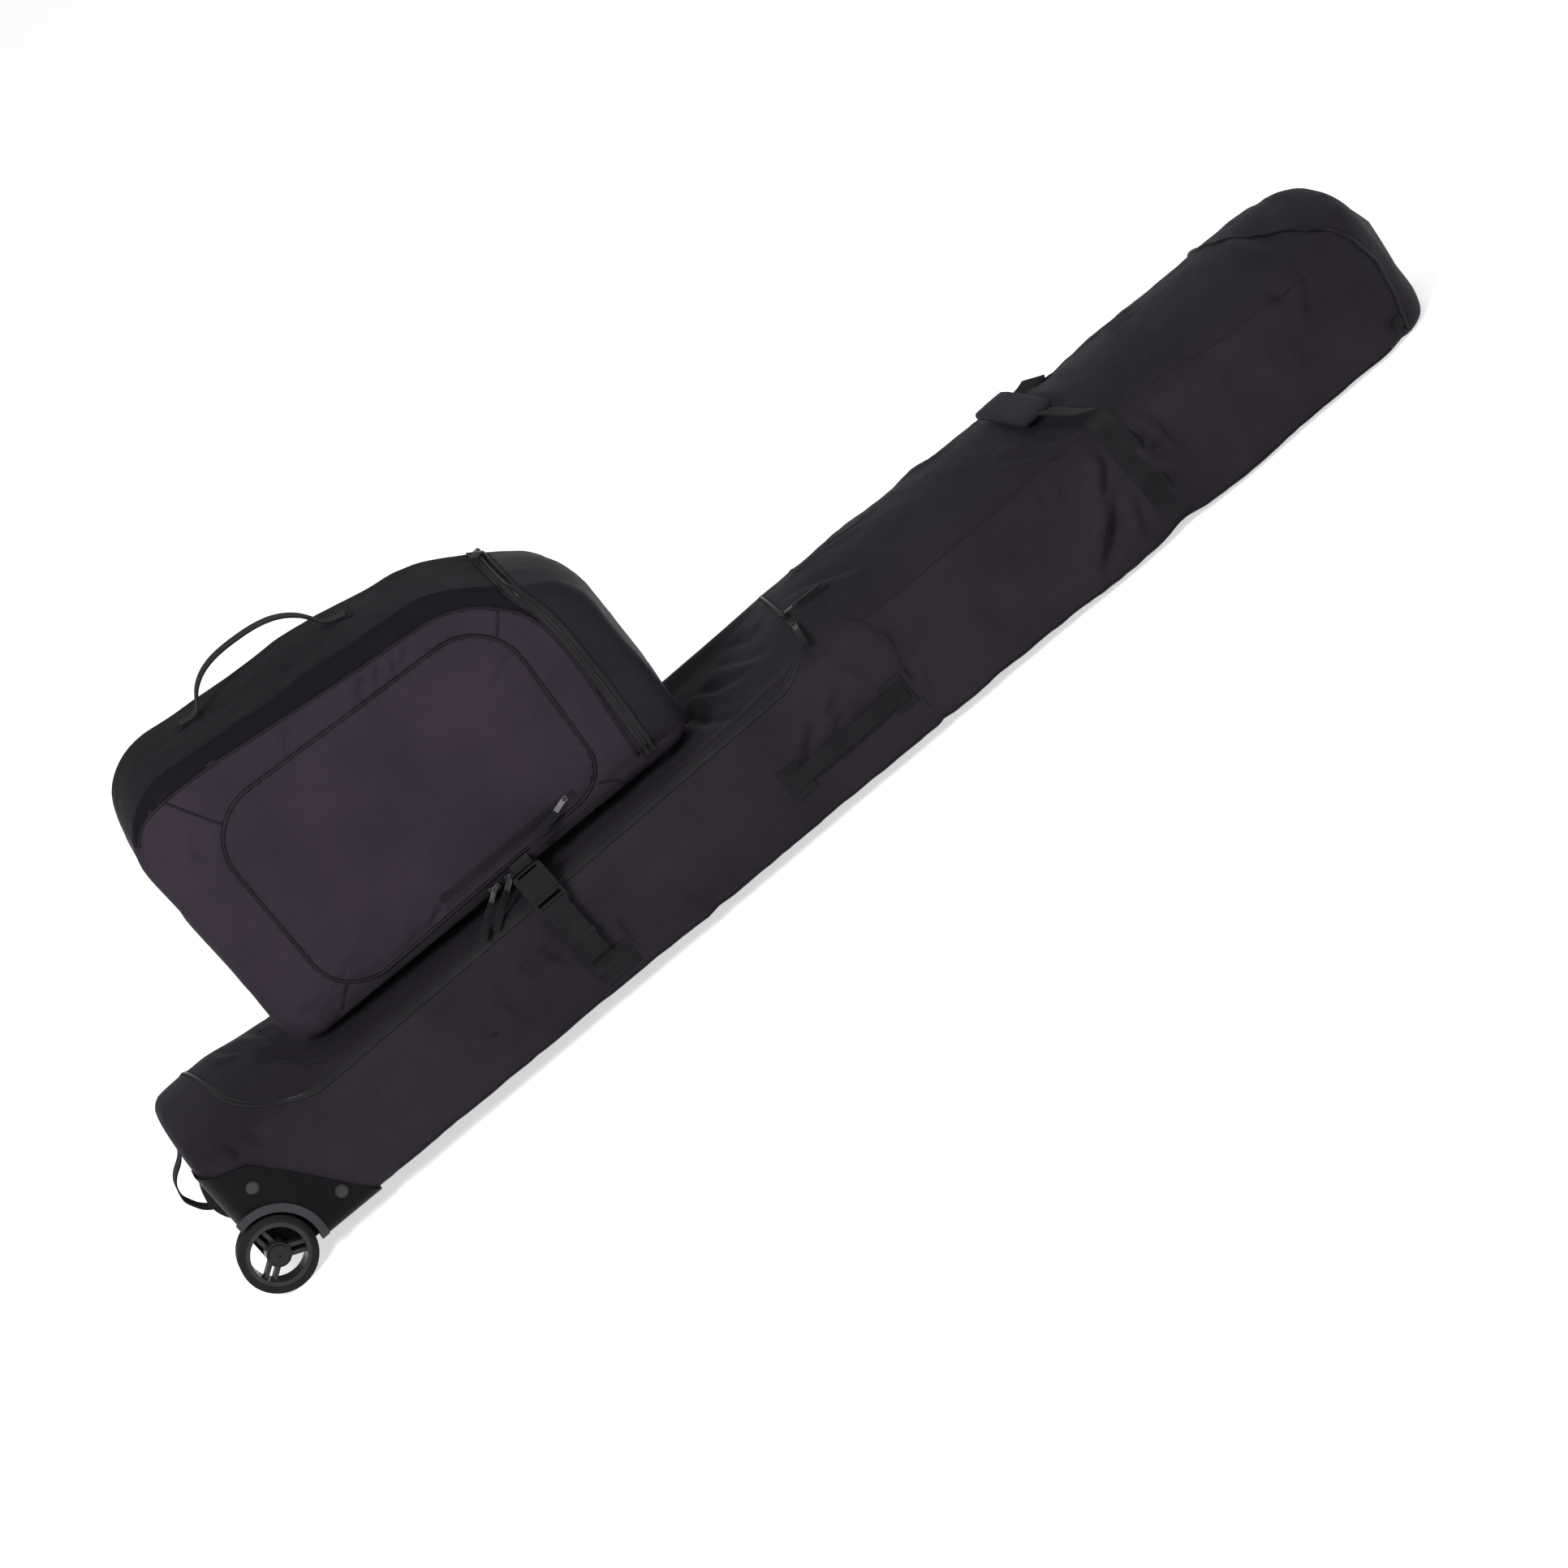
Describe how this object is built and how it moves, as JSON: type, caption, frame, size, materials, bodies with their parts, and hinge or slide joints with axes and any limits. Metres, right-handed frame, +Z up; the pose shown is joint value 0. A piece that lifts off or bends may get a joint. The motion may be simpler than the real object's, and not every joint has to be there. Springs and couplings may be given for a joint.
{
  "type": "snowboard bag",
  "caption": "Long wheeled roller bag for a snowboard, lying flat, with a zip lid, corner wheels and a soft gear duffel strapped on the lid.",
  "frame": {"origin": "middle of the bag on the floor plane under it", "axes": "+X along the bag from the wheel end to the top end, +Z up, -Y towards the side with the carry handle"},
  "size_m": [1.7558, 0.3517, 0.5814],
  "materials": {
    "face_fabric": "near-black coated woven polyester",
    "base_fabric": "heavier coated fabric",
    "duffel_fabric": "near-black woven polyester with a faint purple cast",
    "duffel_top_fabric": "smooth tarpaulin",
    "zip_tape": "ribbed zip tape and coil",
    "slider_metal": "dark painted die-cast metal",
    "pull": "dark metal tab with a folded webbing end",
    "webbing": "ribbed polyester webbing",
    "grip_fabric": "padded wrap",
    "buckle_plastic": "acetal with a slight gloss",
    "housing_plastic": "grained polypropylene",
    "trim_plastic": "grey moulded trim",
    "piping": "smooth cord cover",
    "board_plastic": "corrugated board",
    "rim_plastic": "moulded nylon",
    "tyre": "soft urethane",
    "bearing_steel": "ground steel",
    "axle_metal": "blackened steel"
  },
  "bodies": {
    "roller": {"arch_trims": "trim_plastic", "axles": "axle_metal", "base_board": "board_plastic", "base_panel": "base_fabric", "end_piping": "piping", "end_tab": "webbing", "far_side_panel": "face_fabric", "far_wheel_housing": "housing_plastic", "handle_anchors": "webbing", "haul_bands": "webbing", "housing_rivets": "housing_plastic", "inner_buckles": "buckle_plastic", "inner_straps": "webbing", "main_zip": "zip_tape", "near_ladder_buckle": "buckle_plastic", "near_side_panel": "face_fabric", "near_strap": "webbing", "near_strap_keeper": "webbing", "near_wheel_housing": "housing_plastic", "top_end_cap": "face_fabric", "upper_top_panel": "face_fabric", "wheel_end_panel": "face_fabric"},
    "duffel": {"duffel_front": "duffel_fabric", "duffel_back": "duffel_fabric", "duffel_top": "duffel_top_fabric", "duffel_base": "duffel_fabric", "duffel_left_end": "duffel_fabric", "door_zip_tape": "zip_tape", "front_zips": "zip_tape", "duffel_handle_pads": "webbing", "socket_buckles": "buckle_plastic", "duffel_straps": "webbing"},
    "lid": {"lid_flap": "face_fabric", "far_strap": "webbing", "far_ladder_buckle": "buckle_plastic"},
    "duffel_door": {"duffel_end_door": "duffel_fabric"},
    "duffel_grip": {"duffel_handle": "webbing"},
    "side_grip": {"side_handle": "webbing"},
    "end_grip": {"end_loop": "webbing"},
    "haul_loop": {"haul_straps": "webbing", "haul_grip": "grip_fabric"},
    "near_wheel": {"near_tyre": "tyre", "near_rim": "rim_plastic", "near_bearings": "bearing_steel"},
    "far_wheel": {"far_tyre": "tyre", "far_rim": "rim_plastic", "far_bearings": "bearing_steel"},
    "main_zip_far_runner": {"main_zip_far_slider": "slider_metal"},
    "main_zip_far_tab": {"main_zip_far_pull": "pull"},
    "main_zip_near_runner": {"main_zip_near_slider": "slider_metal"},
    "main_zip_near_tab": {"main_zip_near_pull": "pull"},
    "foot_zip_left_runner": {"foot_zip_left_slider": "slider_metal"},
    "foot_zip_left_tab": {"foot_zip_left_pull": "pull"},
    "foot_zip_right_runner": {"foot_zip_right_slider": "slider_metal"},
    "foot_zip_right_tab": {"foot_zip_right_pull": "pull"},
    "pocket_zip_runner": {"pocket_zip_slider": "slider_metal"},
    "pocket_zip_tab": {"pocket_zip_pull": "pull"},
    "door_zip_runner": {"door_zip_slider": "slider_metal"},
    "door_zip_tab": {"door_zip_pull": "pull"}
  },
  "joints": [
    {"name": "near_wheel_spin", "type": "hinge", "parent": "roller", "child": "near_wheel", "pos_m": [-0.825, -0.15, 0.046], "axis": [0, 1, 0], "continuous": true},
    {"name": "far_wheel_spin", "type": "hinge", "parent": "roller", "child": "far_wheel", "pos_m": [-0.825, 0.15, 0.046], "axis": [0, 1, 0], "continuous": true},
    {"name": "lid_hinge", "type": "hinge", "parent": "roller", "child": "lid", "pos_m": [-0.79, 0.128, 0.1852], "axis": [-1, 0, 0.0062], "range_deg": [0, 110]},
    {"name": "duffel_lift", "type": "slide", "parent": "lid", "child": "duffel", "axis": [0, 0, 1], "range_m": [0, 0.3]},
    {"name": "door_hinge", "type": "hinge", "parent": "duffel", "child": "duffel_door", "pos_m": [-0.1416, 0.112, 0.3], "axis": [0, 0, 1], "range_deg": [0, 100]},
    {"name": "duffel_grip_fold", "type": "hinge", "parent": "duffel", "child": "duffel_grip", "pos_m": [-0.525, 0.0265, 0.5432], "axis": [-0.9942, 0, 0.1073], "range_deg": [0, 80]},
    {"name": "side_grip_fold", "type": "hinge", "parent": "roller", "child": "side_grip", "pos_m": [0.0365, -0.1669, 0.08785], "axis": [-1, 0, 0], "range_deg": [0, 80]},
    {"name": "end_grip_fold", "type": "hinge", "parent": "roller", "child": "end_grip", "pos_m": [-0.8399, 0.0125, 0.12], "axis": [0, 0, -1], "range_deg": [0, 80]},
    {"name": "haul_loop_hinge", "type": "hinge", "parent": "roller", "child": "haul_loop", "pos_m": [0.487, 0, 0.16812], "axis": [0, 1, 0], "range_deg": [0, 120]},
    {"name": "main_zip_far_run", "type": "slide", "parent": "roller", "child": "main_zip_far_runner", "axis": [0, 0.9992, 0.04], "range_m": [0, 0.08]},
    {"name": "main_zip_far_swing", "type": "hinge", "parent": "main_zip_far_runner", "child": "main_zip_far_tab", "pos_m": [0.0741, -0.04, 0.19308], "axis": [0, -0.0678, 0.9977], "range_deg": [-10, 35]},
    {"name": "main_zip_near_run", "type": "slide", "parent": "roller", "child": "main_zip_near_runner", "axis": [0, 0.99, 0.1413], "range_m": [-0.03, 0.02]},
    {"name": "main_zip_near_swing", "type": "hinge", "parent": "main_zip_near_runner", "child": "main_zip_near_tab", "pos_m": [0.0741, -0.084, 0.18845], "axis": [0, -0.1413, 0.99], "range_deg": [-80, 10]},
    {"name": "foot_zip_left_run", "type": "slide", "parent": "duffel", "child": "foot_zip_left_runner", "axis": [0.9998, 0, -0.0207], "range_m": [-0.2, 0]},
    {"name": "foot_zip_left_swing", "type": "hinge", "parent": "foot_zip_left_runner", "child": "foot_zip_left_tab", "pos_m": [-0.375, -0.1214, 0.1974], "axis": [0, -1, 0], "range_deg": [-80, 0]},
    {"name": "foot_zip_right_run", "type": "slide", "parent": "duffel", "child": "foot_zip_right_runner", "axis": [0.9998, 0, -0.0207], "range_m": [0, 0.14]},
    {"name": "foot_zip_right_swing", "type": "hinge", "parent": "foot_zip_right_runner", "child": "foot_zip_right_tab", "pos_m": [-0.352, -0.1214, 0.19693], "axis": [0, -1, 0], "range_deg": [-80, 0]},
    {"name": "pocket_zip_run", "type": "slide", "parent": "duffel", "child": "pocket_zip_runner", "axis": [0.9998, 0, -0.0207], "range_m": [-0.17, 0]},
    {"name": "pocket_zip_swing", "type": "hinge", "parent": "pocket_zip_runner", "child": "pocket_zip_tab", "pos_m": [-0.25, -0.1214, 0.22508], "axis": [0, -1, 0], "range_deg": [-60, 0]},
    {"name": "door_zip_run", "type": "slide", "parent": "duffel", "child": "door_zip_runner", "axis": [0, 1, 0], "range_m": [-0.12, 0.02]},
    {"name": "door_zip_swing", "type": "hinge", "parent": "door_zip_runner", "child": "door_zip_tab", "pos_m": [-0.14563, 0.06, 0.45532], "axis": [0.6176, 0, 0.7865], "range_deg": [-60, 15]}
  ]
}
